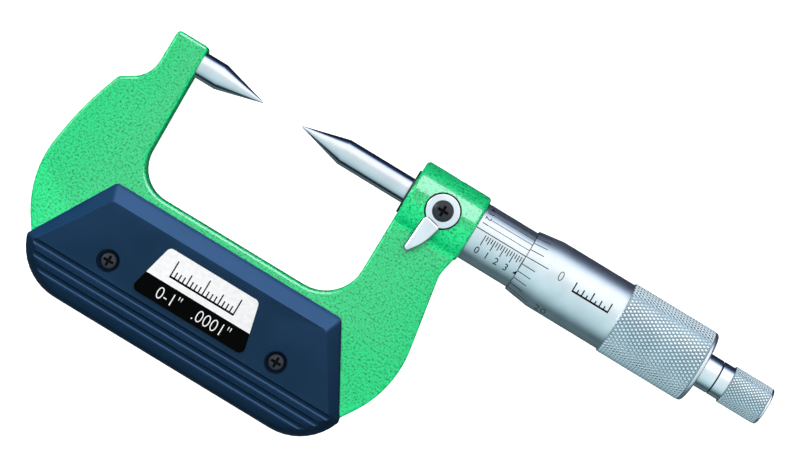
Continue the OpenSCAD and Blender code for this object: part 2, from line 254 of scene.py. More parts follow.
def lathe(name: str, profile: Sequence[Corner], steps: int = ROUND_STEPS, arc: int = 5) -> Piece:
    """A piece turned about the measuring axis.

    Args:
        name: Name of the piece.
        profile: Closed profile, each corner's x along the axis and y its radius, in mm.
        steps: Segments round the axis.
        arc: Segments in each rounding of the profile.

    Returns:
        The turned piece.
    """
    points = [(x * MM, max(r, 0.0) * MM, 0.0) for x, r in rounded(profile, arc)]
    piece = drawn_ring(name, points, filled=False)
    with editing(piece, "VERT", everything=True):
        bpy.ops.mesh.spin(steps=steps, angle=2 * math.pi, center=(0, 0, 0), axis=(1, 0, 0))
        bpy.ops.mesh.select_all(action="SELECT")
        bpy.ops.mesh.remove_doubles(threshold=MERGE)
        bpy.ops.mesh.delete_loose()
        bpy.ops.mesh.select_all(action="SELECT")
        bpy.ops.mesh.normals_make_consistent(inside=False)
    return piece


def rod(name: str, radius: float, start: Sequence[float], length: float, axis: Axis,
        sides: int = 64) -> Piece:
    """A plain bar, used to cut or to join.

    Args:
        name: Name of the bar.
        radius: Radius in millimetres.
        start: Centre of its first end in millimetres.
        length: Length in millimetres, along +X, +Y or +Z.
        axis: Its direction.
        sides: Segments round it.

    Returns:
        The bar, with its place in its mesh.
    """
    middle = Vector(start) * MM
    middle[[Axis.X, Axis.Y, Axis.Z].index(axis)] += length * MM / 2
    bpy.ops.object.select_all(action="DESELECT")
    bpy.ops.mesh.primitive_cylinder_add(
        vertices=sides, radius=radius * MM, depth=length * MM, location=middle, rotation=axis.value
    )
    bar = bpy.context.object
    bar.name = name
    bpy.ops.object.transform_apply(location=True, rotation=True, scale=True)
    return bar


def modify(piece: Piece, kind: str, **settings: object) -> None:
    """Applies one modifier to a piece.

    Args:
        piece: The piece.
        kind: Type of the modifier.
        settings: Values of its properties.
    """
    activate(piece)
    modifier = piece.modifiers.new(kind, kind)
    for name, value in settings.items():
        setattr(modifier, name, value)
    bpy.ops.object.modifier_apply(modifier=modifier.name)


def combine(piece: Piece, tool: Piece, operation: str = "DIFFERENCE") -> None:
    """Cuts a tool from a piece, or joins it on, and throws the tool away.

    Args:
        piece: The piece that stays.
        tool: The piece used up.
        operation: DIFFERENCE or UNION.
    """
    modify(piece, "BOOLEAN", operation=operation, solver="MANIFOLD", object=tool)
    bpy.data.objects.remove(tool)


def bevel_picked(piece: Piece, width: float, segments: int) -> None:
    """Rounds the selected edges of a piece.

    Args:
        piece: The piece, with edges picked.
        width: Width of the rounding in millimetres.
        segments: Segments across it.
    """
    with editing(piece, "EDGE"):
        bpy.ops.mesh.bevel(
            offset=width * MM, offset_type="OFFSET", segments=segments, profile=0.5,
            affect="EDGES", clamp_overlap=True, miter_outer="ARC"
        )


def soften(piece: Piece, width: float, segments: int = 2, angle: float = 35.0) -> None:
    """Rounds every sharp edge of a piece a little.

    Args:
        piece: The piece to soften.
        width: Width of the rounding in millimetres.
        segments: Segments across it.
        angle: Sharpest angle in degrees that is left alone.
    """
    modify(piece, "BEVEL", width=width * MM, segments=segments, limit_method="ANGLE",
           angle_limit=math.radians(angle))


def upright(piece: Piece) -> None:
    """Turns a piece made along X to stand along Z."""
    activate(piece)
    piece.rotation_euler = (0, -math.pi / 2, 0)
    bpy.ops.object.transform_apply(location=False, rotation=True, scale=False)


def joined(pieces: Sequence[Piece], name: str) -> Piece:
    """Joins pieces into one.

    Args:
        pieces: The pieces.
        name: Name of the result.

    Returns:
        The joined piece.
    """
    activate(pieces[0])
    for piece in pieces:
        piece.select_set(True)
    bpy.ops.object.join()
    result = bpy.context.object
    result.name = name
    return result


def mirrored(piece: Piece, name: str) -> Piece:
    """A copy of a piece on the other side of the mid plane.

    Args:
        piece: The piece on the front.
        name: Name of the copy.

    Returns:
        The copy, with its own mesh.
    """
    activate(piece)
    bpy.ops.object.duplicate()
    copy = bpy.context.object
    copy.name = name
    copy.scale = (1, 1, -1)
    bpy.ops.object.transform_apply(location=False, rotation=False, scale=True)
    with editing(copy, everything=True):
        bpy.ops.mesh.normals_make_consistent(inside=False)
    return copy


def span(node: str) -> tuple[Vector, Vector]:
    """Lowest and highest corners of a CAD node, in millimetres."""
    low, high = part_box(node)
    return low / MM, high / MM


# ---------------------------------------------------------------- finishes


class Nodes:
    """Small helper that adds and links the nodes of one tree."""

    def __init__(self, tree: bpy.types.NodeTree) -> None:
        """Starts on the tree of a material or of the world."""
        self.tree = tree

    def feed(self, node: bpy.types.Node, **inputs: float | Sequence[float] | Socket) -> None:
        """Sets or links inputs of a node.

        Args:
            node: The node.
            inputs: A value or a source for each input, named with underscores for spaces.
        """
        for name, source in inputs.items():
            socket = node.inputs[name.replace("_", " ")]
            if isinstance(source, Socket):
                self.tree.links.new(source, socket)
            else:
                socket.default_value = source

    def add(self, kind: str, **inputs: float | Sequence[float] | Socket) -> bpy.types.Node:
        """Adds a node.

        Args:
            kind: Its type, without the prefix that all shader nodes have.
            inputs: Its inputs, as in feed.

        Returns:
            The node.
        """
        node = self.tree.nodes.new("ShaderNode" + kind)
        self.feed(node, **inputs)
        return node

    def ramp(self, value: Socket, stops: Sequence[tuple[float, Sequence[float]]]) -> Socket:
        """Colours along a value.

        Args:
            value: The value to colour.
            stops: Position and colour of each stop, from low to high.

        Returns:
            The colour.
        """
        node = self.add("ValToRGB", Fac=value)
        stop_list = node.color_ramp.elements
        while len(stop_list) < len(stops):
            stop_list.new(1.0)
        for stop, (position, colour) in zip(stop_list, stops):
            stop.position = position
            stop.color = (*colour, 1.0)
        return node.outputs["Color"]


class Finish(Nodes):
    """The nodes of one material, round its Principled shader."""

    def __init__(self, name: str) -> None:
        """Starts an empty material with a Principled shader, by name."""
        self.material = bpy.data.materials.new(name)
        self.material.use_nodes = True
        super().__init__(self.material.node_tree)
        self.shader = self.tree.nodes["Principled BSDF"]
        self.place = self.add("TexCoord").outputs["Object"]

    def noise(self, scale: float, detail: float = 3.0, stretch: Sequence[float] = (1, 1, 1),
              rough: float = 0.5) -> Socket:
        """A noise pattern in object coordinates.

        Args:
            scale: Cells per metre.
            detail: Octaves.
            stretch: Factors for X, Y and Z.
            rough: How strong the fine octaves are.

        Returns:
            The pattern, from 0 to 1.
        """
        place = self.add("Mapping", Scale=stretch, Vector=self.place).outputs["Vector"]
        return self.add("TexNoise", Scale=scale, Detail=detail, Roughness=rough, Vector=place).outputs["Fac"]

    def span(self, value: Socket, low: float, high: float) -> Socket:
        """Maps a pattern from 0..1 to low..high."""
        return self.add("MapRange", To_Min=low, To_Max=high, Value=value).outputs["Result"]

    def bump(self, height: Socket, depth: float, strength: float) -> Socket:
        """Relief from a height pattern, with its depth in millimetres."""
        return self.add("Bump", Distance=depth * MM, Strength=strength, Height=height).outputs["Normal"]

    def put(self, **inputs: float | Sequence[float] | Socket) -> None:
        """Sets or links inputs of the shader, named with underscores for spaces."""
        self.feed(self.shader, **inputs)


@dataclass(frozen=True)
class HammerEnamel:
    """Green hammered enamel on the casting."""

    name: str = "hammer_enamel"
    slot: str = "frame_enamel"
    deep: Triple = (0.002, 0.40, 0.120)
    light: Triple = (0.004, 0.50, 0.162)
    speck: Triple = (0.0015, 0.17, 0.05)

    def build(self) -> bpy.types.Material:
        """Pebbled gloss coat over a green with darker specks in its hollows."""
        m = Finish(self.name)
        pebbles = m.noise(2000, 3.0, rough=0.6)
        broad = m.noise(90, 2.0)
        colour = m.ramp(pebbles, [(0.35, self.speck), (0.46, self.deep), (0.56, self.light)])
        m.put(Base_Color=colour, Roughness=m.span(broad, 0.34, 0.46), Normal=m.bump(pebbles, 0.15, 0.42))
        m.put(Specular_IOR_Level=0.02, Coat_Weight=0.85, Coat_Roughness=0.14)
        return m.material


@dataclass(frozen=True)
class GrainedPlastic:
    """Dark navy moulded plastic of the grips."""

    name: str = "grained_plastic"
    slot: str = "grip_plastic"
    dark: Triple = (0.0006, 0.0050, 0.0142)
    light: Triple = (0.0010, 0.0062, 0.0170)

    def build(self) -> bpy.types.Material:
        """Fine spark-eroded grain with a soft sheen."""
        m = Finish(self.name)
        grain = m.noise(5200, 2.0)
        cloud = m.noise(160, 3.0)
        m.put(Base_Color=m.ramp(cloud, [(0.3, self.dark), (0.7, self.light)]))
        m.put(Roughness=m.span(cloud, 0.30, 0.38), Normal=m.bump(grain, 0.02, 0.35))
        m.put(Specular_IOR_Level=0.24, Specular_Tint=(0.3, 0.64, 1.0, 1.0))
        return m.material


@dataclass(frozen=True)
class Metal:
    """A metal with its own colour, gloss and the fine lines left by its machining."""

    name: str
    slot: str
    tint: Triple = (0.74, 0.77, 0.79)
    rough: tuple[float, float] = (0.26, 0.34)
    line_scale: float = 9000.0
    line_stretch: Triple = (1.0, 0.02, 0.02)
    line_depth: float = 0.004
    line_strength: float = 0.25
    stain: float = 0.9
    metallic: float = 1.0

    def build(self) -> bpy.types.Material:
        """Fine lines in the relief, with slow changes of gloss and of tone."""
        m = Finish(self.name)
        lines = m.noise(self.line_scale, 2.0, self.line_stretch)
        cloud = m.noise(220, 3.0)
        darker = tuple(c * self.stain for c in self.tint)
        m.put(Base_Color=m.ramp(cloud, [(0.3, darker), (0.65, self.tint)]), Metallic=self.metallic)
        m.put(Roughness=m.span(cloud, *self.rough), Normal=m.bump(lines, self.line_depth, self.line_strength))
        return m.material


@dataclass(frozen=True)
class Ink:
    """Matt ink in the engraved lines, digits and label; the black ink is also used as painted shade in the
    screws' cross recesses and on the lock's spot face.
    """

    name: str
    slot: str
    tint: Triple = (0.006, 0.006, 0.008)
    rough: tuple[float, float] = (0.7, 0.85)

    def build(self) -> bpy.types.Material:
        """Nearly even tone with a slight change of gloss."""
        m = Finish(self.name)
        cloud = m.noise(900, 2.0)
        darker = tuple(c * 0.9 for c in self.tint)
        m.put(Base_Color=m.ramp(cloud, [(0.3, darker), (0.7, self.tint)]))
        m.put(Roughness=m.span(cloud, *self.rough), Specular_IOR_Level=0.03)
        return m.material


class Finishes:
    """All finishes of the instrument, each built once."""

    CHOICES = {
        "enamel": HammerEnamel(),
        "plastic": GrainedPlastic(),
        "satin": Metal("satin_chrome", "satin_chrome", rough=(0.33, 0.40)),
        # knurl crests in a lighter chrome tint as painted highlight, groove walls in a darker one as painted
        # shade
        "knurl": Metal("knurled_chrome_painted_highlight", "satin_chrome", (0.88, 0.92, 0.94), (0.22, 0.3), line_strength=0.1),
        "groove": Metal("knurl_groove_painted_shade", "satin_chrome", (0.52, 0.60, 0.64), (0.34, 0.45)),
        "ground": Metal("ground_steel", "hardened_steel", (0.70, 0.71, 0.73), (0.16, 0.22),
                        line_depth=0.003),
        "bright": Metal("bright_chrome", "bright_chrome", (0.82, 0.83, 0.85), (0.2, 0.28),
                        2500.0, (1.0, 1.0, 1.0), 0.004, 0.15),
        "oiled": Metal("oiled_steel", "dark_steel", (0.16, 0.16, 0.17), (0.3, 0.42)),
        "wire": Metal("spring_wire", "spring_steel", (0.5, 0.5, 0.52), (0.25, 0.35)),
        # black oxide of the screws, also painted shade on the thimble's front edge and groove and in the
        # ratchet collar's neck
        "oxide_and_painted_shade": Metal("black_oxide", "black_oxide", (0.003, 0.006, 0.012), (0.26, 0.38),
                       3000.0, (1.0, 1.0, 1.0), 0.006, 0.2, metallic=0.0),
        "brass": Metal("turned_brass", "brass", (0.78, 0.58, 0.27), (0.25, 0.35)),
        # black ink for the scales, also painted shade in screw recesses and on the lock's spot face
        "ink_and_painted_shade": Ink("black_ink_and_painted_shade", "satin_chrome"),
        "label_black": Ink("label_black", "label_foil", (0.0004, 0.0004, 0.0004), (0.6, 0.7)),
        "label_white": Ink("label_white", "label_foil", (0.93, 0.94, 0.95), (0.3, 0.38)),
    }

    def __init__(self) -> None:
        """Builds every finish."""
        self.materials = {key: choice.build() for key, choice in self.CHOICES.items()}

    def dress(self, piece: Piece, finish: str, body: Body, *nodes: str,
              smooth: float = 35.0, rest: str = "") -> None:
        """Finishes a piece and ties it to the moving group it belongs to.

        Args:
            piece: The finished shape.
            finish: Key of its finish.
            body: The group it moves with.
            nodes: CAD nodes that it stands for.
            smooth: Angle in degrees below which edges shade smoothly.
            rest: Key of the finish of the faces left unselected, if they have their own.
        """
        piece.data.materials.clear()
        piece.data.materials.append(self.materials[finish])
        if rest:
            piece.data.materials.append(self.materials[rest])
            for face in piece.data.polygons:
                face.material_index = 0 if face.select else 1
        activate(piece)
        bpy.ops.object.shade_smooth_by_angle(angle=math.radians(smooth))
        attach(piece, body.value)
        if nodes:
            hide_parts(*nodes)
        log.info("%s: %d faces, %s, rides on %s", piece.name, len(piece.data.polygons), finish, body.value)

    def dress_nodes(self, **nodes: str) -> None:
        """Gives CAD nodes that stay in view their finishes.

        Args:
            nodes: Key of the finish for each node.
        """
        for node, finish in nodes.items():
            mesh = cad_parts[node].data
            mesh.materials.clear()
            mesh.materials.append(self.materials[finish])
            log.info("%s: CAD shape, %s", node, finish)


# ---------------------------------------------------------------- frame and grips


@dataclass
class Casting:
    """The U-shaped casting with its two bosses."""

    thickness: float = 8.0
    edge: float = 0.9
    hollow: float = 2.2
    bore: float = 5.51
    spot_radius: float = 4.3
    spot_height: float = 7.0
    stud_bore: float = 2.05
    tapped: float = 1.26
    anvil_reach: float = 16.9
    nose: float = 0.45
    seam: float = 0.05
    grip_screw_y: float = -48.9
    grip_screw_dx: float = 22.2
    # Corners of the bow: the wall from which X is measured, X, Y and radius.
    bow: tuple[tuple[str, float, float, float], ...] = (
        ("left", -8.1, 4.3, 1.1), ("left", 0.0, 4.3, 1.1), ("left", 0.9, -30.8, 8.4),
        ("start", 0.0, -30.8, 9.8), ("start", 0.0, 0.0, 0.0), ("end", 0.0, 0.0, 0.0),
        ("end", 0.0, -6.0, 6.0), ("end", -1.45, -12.6, 8.0), ("end", 3.55, -40.9, 26.0),
        ("end", -9.4, -60.8, 11.5), ("left", -7.2, -60.8, 12.0), ("left", -20.75, -41.4, 26.0),
        ("left", -17.86, -22.1, 75.0), ("left", -14.4, -11.9, 2.0), ("left", -8.1, -8.0, 7.0),
    )

    def __post_init__(self) -> None:
        """Takes the places of the walls and the boss from the CAD frame."""
        self.left = -span("anvil")[1].x - self.anvil_reach
        self.boss_start = span("inner_sleeve")[0].x + self.nose
        self.boss_end = span("outer_sleeve")[0].x - self.seam
        self.boss_radius = span("frame")[1].z
        self.lock_x = (span("lock_stud")[0].x + span("lock_stud")[1].x) / 2
        self.centre = (self.boss_start + self.left) / 2

    def corners(self) -> list[Corner]:
        """Outer corners of the bow, from the anvil boss round to the spindle boss."""
        walls = {"left": self.left, "start": self.boss_start, "end": self.boss_end}
        return [Corner(walls[wall] + x, y, radius) for wall, x, y, radius in self.bow]

    def screw_places(self) -> list[tuple[float, float]]:
        """Centres of the two grip screws."""
        return [(self.centre + side * self.grip_screw_dx, self.grip_screw_y) for side in (-1, 1)]

    def fillet(self, side: int) -> Piece:
        """Hollow rounding between the boss and one face of the web.

        Args:
            side: 1 for the front, -1 for the back.

        Returns:
            The bar that fills the corner.
        """
        half, boss, hollow = self.thickness / 2, self.boss_radius, self.hollow
        y = -math.sqrt((boss + hollow) ** 2 - (half + hollow) ** 2)
        centre = Vector((y, half + hollow))
        end = math.atan2(-centre.y, -centre.x)
        start = -math.pi / 2
        arc = [start + (end - start) * i / 8 for i in range(9)]
        outline = [(centre.x + hollow * math.cos(a), centre.y + hollow * math.sin(a)) for a in arc]
        x, z = outline[-1]
        sunk, deep = half - 0.5, x + 0.8
        outline += [(deep, z - 0.6), (deep, sunk), (y, sunk)]
        low, high = self.boss_start + self.edge, self.boss_end - self.edge
        points = [(low * MM, a * MM, side * b * MM) for a, b in outline]
        bar = drawn_ring("fillet", points)
        extrude(bar, ((high - low) * MM, 0, 0))
        return bar

    def build(self) -> Piece:
        """Plate and boss, rounded, joined with hollow fillets, then bored and tapped."""
        half = self.thickness / 2
        casting = prism("frame_casting", rounded(self.corners(), 10), -half, half)
        soften(casting, self.edge, 4, 60)
        length = self.boss_end - self.boss_start
        boss = rod("boss", self.boss_radius, (self.boss_start, 0, 0), length, Axis.X, ROUND_STEPS)
        soften(boss, self.edge, 5, 60)
        combine(casting, boss, "UNION")
        for side in (1, -1):
            combine(casting, self.fillet(side), "UNION")
        tools = [
            rod("bore", self.bore, (self.boss_start - 5, 0, 0), length + 10, Axis.X, 96),
            rod("spot", self.spot_radius, (self.lock_x, 0, self.spot_height), 5, Axis.Z, 96),
            rod("stud_hole", self.stud_bore, (self.lock_x, 0, 3), 6, Axis.Z),
            rod("grub_hole", self.tapped, (self.lock_x, 4, 0), 6, Axis.Y),
        ]
        tools += [rod("tapped", self.tapped, (x, y, -6), 12, Axis.Z, 32) for x, y in self.screw_places()]
        for tool in tools:
            combine(casting, tool)
        return casting

    def dress(self, finishes: Finishes) -> Piece:
        """Builds the casting and finishes it and the fixed pieces in it.

        Args:
            finishes: The instrument's finishes.

        Returns:
            The casting.
        """
        casting = self.build()
        finishes.dress(casting, "enamel", Body.FRAME, "frame", smooth=40)
        finishes.dress_nodes(inner_sleeve="oxide_and_painted_shade", adjusting_nut="oiled", sleeve_set_screw="oxide_and_painted_shade",
                             lock_pad="brass")
        return casting


@dataclass
class Grips:
    """The two insulated grip plates, their screws and the label."""

    casting: Casting
    top: float = -32.8
    side_y: float = -53.2
    bottom: float = -62.6
    top_w: float = 59.6
    side_w: float = 83.0
    bottom_w: float = 75.8
    corner: float = 13.6
    top_round: float = 1.6
    side_round: float = 1.2
    wall_top: float = 4.7
    bevel_top: float = 3.9
    bevel_side: float = 2.7
    bevel_drift: float = 0.6
    lower_round: float = 3.4
    round_angles: tuple[int, ...] = (20, 32, 45, 60, 75, 90)
    edge: float = 0.18
    rise: float = 0.02
    clearance: float = 0.03
    grooves: int = 3
    groove_y: float = -53.7
    groove_pitch: float = 2.5
    groove_radius: float = 0.85
    groove_depth: float = 0.65
    sink_radius: float = 2.7
    sink_depth: float = 2.1
    screw_hole: float = 1.45
    label_sink: float = 0.15
    label_split: float = -46.45
    label_print: float = 0.012
    ruler_y: float = -42.8
    range_y: float = -49.15
    label: tuple[tuple[float, float, float], ...] = (
        (-11.7, -39.0, 1.2), (11.9, -39.0, 1.2), (15.05, -51.45, 1.4), (-14.8, -51.45, 1.4)
    )

    def __post_init__(self) -> None:
        """Takes the height of the grips from the CAD frame."""
        self.face = span("front_grip")[1].z

    def outline(self, top: float, side: float, bottom: float) -> list[tuple[float, float]]:
        """Outline of a grip, drawn in by the given amounts.

        Args:
            top: Inset of the upper edge.
            side: Inset of both sides.
            bottom: Inset of the lower edge.

        Returns:
            The outline, always with the same number of points.
        """
        centre = self.casting.centre
        right = [
            Corner(self.top_w / 2 - side * self.bevel_drift, self.top - top, self.top_round),
            Corner(self.side_w / 2 - side, self.side_y, self.side_round),
            Corner(self.bottom_w / 2 - side, self.bottom + bottom, self.corner - bottom),
        ]
        corners = [Corner(centre + c.x, c.y, c.radius) for c in right]
        corners += [Corner(centre - c.x, c.y, c.radius) for c in reversed(right)]
        return rounded(corners, 9)

    def shell(self) -> Piece:
        """Outer form: the rim outline drawn up level by level to the flat face."""
        flat_from = self.face - self.lower_round
        arc = [flat_from + self.lower_round * math.sin(math.radians(a)) for a in self.round_angles]
        heights = [flat_from, self.wall_top, *arc]
        rim = [(x * MM, y * MM, self.rise * MM) for x, y in self.outline(0, 0, 0)]
        shell = drawn_ring("front_grip_shell", rim)
        for height in heights:
            part = max(0.0, (height - self.wall_top) / (self.face - self.wall_top))
            lift = max(0.0, height - flat_from)
            bottom = self.lower_round - math.sqrt(max(0.0, self.lower_round ** 2 - lift ** 2))
            ring = self.outline(self.bevel_top * part, self.bevel_side * part, bottom)
            with editing(shell, "FACE", everything=height == heights[0]):
                bpy.ops.mesh.extrude_region_move(TRANSFORM_OT_translate={"value": (0, 0, MM)})
            top_ring = [v for v in shell.data.vertices if v.select]
            for vertex, (x, y) in zip(top_ring, ring):
                vertex.co = (x * MM, y * MM, height * MM)
        with editing(shell, everything=True):
            bpy.ops.mesh.normals_make_consistent(inside=False)
        return shell

    def label_corners(self, grow: float = 0.0) -> list[Corner]:
        """Corners of the label, grown by a margin for its recess."""
        centre, split = self.casting.centre, self.label_split
        return [
            Corner(centre + x + math.copysign(grow, x), y + math.copysign(grow, y - split), radius)
            for x, y, radius in self.label
        ]

    def build(self) -> tuple[Piece, Piece]:
        """Cuts pocket, grooves and screw seats, then mirrors the grip and sinks the label."""
        front = self.shell()
        soften(front, self.edge, 2, 22)
        web = self.casting.thickness / 2
        tools = [prism("pocket", rounded(self.casting.corners(), 10), -2, web + self.clearance)]
        middle = self.face - self.groove_depth + self.groove_radius
        for i in range(self.grooves):
            start = (-60, self.groove_y - i * self.groove_pitch, middle)
            tools.append(rod("groove", self.groove_radius, start, 140, Axis.X, 48))
        for x, y in self.casting.screw_places():
            tools.append(rod("seat", self.sink_radius, (x, y, self.face - self.sink_depth), 5, Axis.Z, 64))
            tools.append(rod("hole", self.screw_hole, (x, y, 0), 9, Axis.Z, 32))
        for tool in tools:
            combine(front, tool)
        back = mirrored(front, "back_grip_shell")
        low = self.face - self.label_sink
        combine(front, prism("recess", rounded(self.label_corners(0.05), 6), low, self.face + 2))
        return front, back

    def screws(self) -> tuple[Piece, Piece]:
        """Two domed screws in the front and their mirror images in the back."""
        seat = self.face - self.sink_depth + 0.01
        kind = DomedScrew(head_radius=2.3, head_height=1.5, shank_radius=1.25, shank_length=seat - 0.3,
                          cross=3.3)
        places = self.casting.screw_places()

        def on_head(face: bpy.types.MeshPolygon) -> bool:
            """Whether a face lies outside every recess."""
            at = face.center / MM
            x, y = min(places, key=lambda p: math.hypot(at.x - p[0], at.y - p[1]))
            return kind.on_head(Vector((at.x - x, at.y - y, abs(at.z) - seat)))

        front = joined([kind.build("screw", (x, y, seat)) for x, y in places], "front_screws")
        back = mirrored(front, "back_screws")
        # faces outside the recesses keep the oxide; the recess walls and floor get black ink as painted shade
        for pair in (front, back):
            pick(pair, faces=on_head)
        return front, back

    def dress(self, finishes: Finishes) -> tuple[Piece, Piece]:
        """Builds and finishes both grips, the four screws and the label.

        Args:
            finishes: The instrument's finishes.

        Returns:
            The two grips.
        """
        front, back = self.build()
        finishes.dress(front, "plastic", Body.FRAME, "front_grip", smooth=30)
        finishes.dress(back, "plastic", Body.FRAME, "back_grip", smooth=30)
        for screws, node in zip(self.screws(), ("front_grip_screws", "back_grip_screws")):
            # the cross recesses take black ink: painted shade
            finishes.dress(screws, "oxide_and_painted_shade", Body.FRAME, node, rest="ink_and_painted_shade")
        self.dress_label(finishes)
        return front, back

    def dress_label(self, finishes: Finishes) -> None:
        """Builds the label: a white plate with a black lower band, ruler marks and range."""
        top = span("label_plate")[1].z
        low = self.face - self.label_sink
        plate = prism("label_white_plate", rounded(self.label_corners(), 8), low, top)
        soften(plate, 0.05, 2)
        finishes.dress(plate, "label_white", Body.FRAME, "label_plate")
        print_top = top + self.label_print
        band = prism("label_black_band", rounded(self.label_corners(), 8), top - 0.1, print_top)
        centre = self.casting.centre
        with editing(band, everything=True):
            bpy.ops.mesh.bisect(plane_co=(0, self.label_split * MM, 0), plane_no=(0, 1, 0), clear_outer=True,
                                use_fill=True)
        finishes.dress(band, "label_black", Body.FRAME)
        ruler = ruler_marks("label_ruler", 17.0, 4.2, 0.32, 16)
        place(ruler, (centre, self.ruler_y, print_top))
        finishes.dress(ruler, "label_black", Body.FRAME)
        words = lettering("label_range", '0-1"   .0001"', 3.0, thin=0.05)
        place(words, (centre + 0.4, self.range_y, top + 0.03))
        finishes.dress(words, "label_white", Body.FRAME)


@dataclass
class DomedScrew:
    """A screw with a low domed head and a cross recess, standing along Z."""

    head_radius: float
    head_height: float
    shank_radius: float
    shank_length: float
    cross: float

    def height_at(self, part: float) -> float:
        """Height of the dome for 0 at its rim to 1 at its crown."""
        rim = self.head_height * 0.35
        return rim + (self.head_height - rim) * part

    def build(self, name: str, seat: Sequence[float]) -> Piece:
        """Turns the screw, cuts its recess and stands it on its seat.

        Args:
            name: Name of the screw.
            seat: Centre of the head's underside, in millimetres.

        Returns:
            The screw.
        """
        dome = [
            Corner(self.height_at(math.sin(a)), self.head_radius * math.cos(a))
            for a in map(math.radians, range(0, 91, 10))
        ]
        profile = [
            Corner(-self.shank_length, 0), Corner(-self.shank_length, self.shank_radius),
            Corner(0, self.shank_radius), Corner(0, self.head_radius, 0.15), *dome
        ]
        screw = lathe(name, profile, 72, 3)
        upright(screw)
        combine(screw, self.cross_tool())
        place(screw, seat)
        return screw

    def on_head(self, at: Vector) -> bool:
        """Whether a point is outside the cross recess.

        Args:
            at: The point, in millimetres from the head's underside.

        Returns:
            False for a point on the walls or the floor of the recess.
        """
        reach = math.hypot(at.x, at.y)
        dome = self.height_at(math.sqrt(max(0.0, 1 - (reach / self.head_radius) ** 2)))
        return reach > self.cross * 0.55 or at.z < self.head_height - 1.05 or at.z > dome - 0.07

    def cross_tool(self) -> Piece:
        """A tapered cross that cuts the recess."""
        arm, half = self.cross / 2, self.cross * 0.12
        quarter = [(arm, -half), (arm, half), (half, half)]
        outline = []
        for turn in range(4):
            c, s = (1, 0, -1, 0)[turn], (0, 1, 0, -1)[turn]
            outline += [(x * c - y * s, x * s + y * c) for x, y in quarter]
        tool = prism("cross", outline, self.head_height - 1.0, self.head_height + 0.5)
        deepest = (self.head_height - 0.95) * MM
        pick(tool, faces=lambda f: f.center.z < deepest)
        with editing(tool):
            bpy.ops.transform.resize(value=(0.5, 0.5, 1))
        return tool


# ---------------------------------------------------------------- marks and digits


def sliced(piece: Piece, step: float) -> None:
    """Cuts a flat piece across at even steps in Y, so that it can follow a barrel.

    Args:
        piece: The flat piece.
        step: Distance between cuts in millimetres.
    """
    low = min(v.co.y for v in piece.data.vertices)
    high = max(v.co.y for v in piece.data.vertices)
    cuts = int((high - low) / (step * MM))
    for i in range(1, cuts + 1):
        with editing(piece, everything=True):
            bpy.ops.mesh.bisect(plane_co=(0, low + (high - low) * i / (cuts + 1), 0), plane_no=(0, 1, 0))


def place(piece: Piece, at: Sequence[float], turn: float = 0.0) -> None:
    """Moves a piece and keeps its new place in its mesh.

    Args:
        piece: The piece.
        at: Offset in millimetres.
        turn: Turn about Z in degrees, made first.
    """
    activate(piece)
    piece.rotation_euler = (0, 0, math.radians(turn))
    piece.location = Vector(at) * MM
    bpy.ops.object.transform_apply(location=True, rotation=True, scale=True)


def stroke(x0: float, x1: float, y0: float, y1: float, cuts: int = 1) -> Piece:
    """A flat inked line, as a strip that can be wrapped round a barrel.

    Args:
        x0: Start along the axis.
        x1: End along the axis.
        y0: Start across the axis.
        y1: End across the axis.
        cuts: Divisions across the axis.

    Returns:
        The strip, at height 0.
    """
    bpy.ops.object.select_all(action="DESELECT")
    bpy.ops.mesh.primitive_grid_add(x_subdivisions=1, y_subdivisions=cuts, size=MM)
    strip = bpy.context.object
    strip.scale = (x1 - x0, y1 - y0, 1)
    place(strip, ((x0 + x1) / 2, (y0 + y1) / 2, 0))
    return strip


def lettering(name: str, words: str, height: float, spacing: float = 1.0, width: float = 0.9,
              thin: float = 0.02) -> Piece:
    """Flat digits, centred on the origin, with a little thickness.

    Args:
        name: Name of the piece.
        words: The digits.
        height: Height of a digit in millimetres.
        spacing: Space between digits, as a factor.
        width: Width of the digits, as a factor.
        thin: How far every stroke is drawn in, as a part of its height.

    Returns:
        The digits as a mesh.
    """
    bpy.ops.object.select_all(action="DESELECT")
    bpy.ops.object.text_add()
    text = bpy.context.object
    text.name = name
    text.data.body = words
    text.data.align_x = "CENTER"
    text.data.align_y = "CENTER"
    text.data.size = height / CAP_HEIGHT * MM
    text.data.space_character = spacing
    text.data.resolution_u = 4
    text.data.offset = -thin * height / 2.4 * MM
    text.data.extrude = 0.012 * MM
    bpy.ops.object.convert(target="MESH")
    digits = bpy.context.object
    digits.scale = (width, 1, 1)
    place(digits, (0, 0, 0))
    with editing(digits, "VERT", everything=True):
        bpy.ops.mesh.remove_doubles(threshold=MERGE)
        bpy.ops.mesh.normals_make_consistent(inside=False)
    return digits


def ruler_marks(name: str, length: float, height: float, line: float, count: int) -> Piece:
    """A generic ruler sign: a base line with short and long ticks on it.

    Args:
        name: Name of the piece.
        length: Length of the base line.
        height: Height of the longest tick.
        line: Width of the lines.
        count: Spaces between ticks, a multiple of eight.

    Returns:
        The sign, centred on the origin.
    """
    strips = [stroke(-length / 2, length / 2, -height / 2, -height / 2 + line * 1.5)]
    for i in range(count + 1):
        x = -length / 2 + line / 2 + (length - line) * i / count
        reach = 1.0 if i * 2 % count == 0 else 0.72 if i * 4 % count == 0 else 0.45
        strips.append(stroke(x - line / 2, x + line / 2, -height / 2, -height / 2 + height * reach))
    sign = joined(strips, name)
    thicken(sign, 0.03)
    return sign


def thicken(piece: Piece, depth: float) -> None:
    """Gives flat strips a thickness, half of it on each side.

    Args:
        piece: The strips.
        depth: Thickness in millimetres.
    """
    modify(piece, "SOLIDIFY", thickness=depth * MM, offset=0.0)


def wrap(piece: Piece, radius_at: Callable[[float], float], angle: float) -> None:
    """Lays a flat piece on a barrel: its Y becomes the way round and its Z the height.

    Args:
        piece: The flat piece, in metres.
        radius_at: Radius of the barrel at a place along X, in millimetres.
        angle: Where Y = 0 comes to lie, in degrees from +Z towards +Y.
    """
    for vertex in piece.data.vertices:
        x, y, z = vertex.co
        radius = radius_at(x / MM) * MM
        turn = math.radians(angle) + y / radius
        vertex.co = (x, (radius + z) * math.sin(turn), (radius + z) * math.cos(turn))
    piece.data.update()


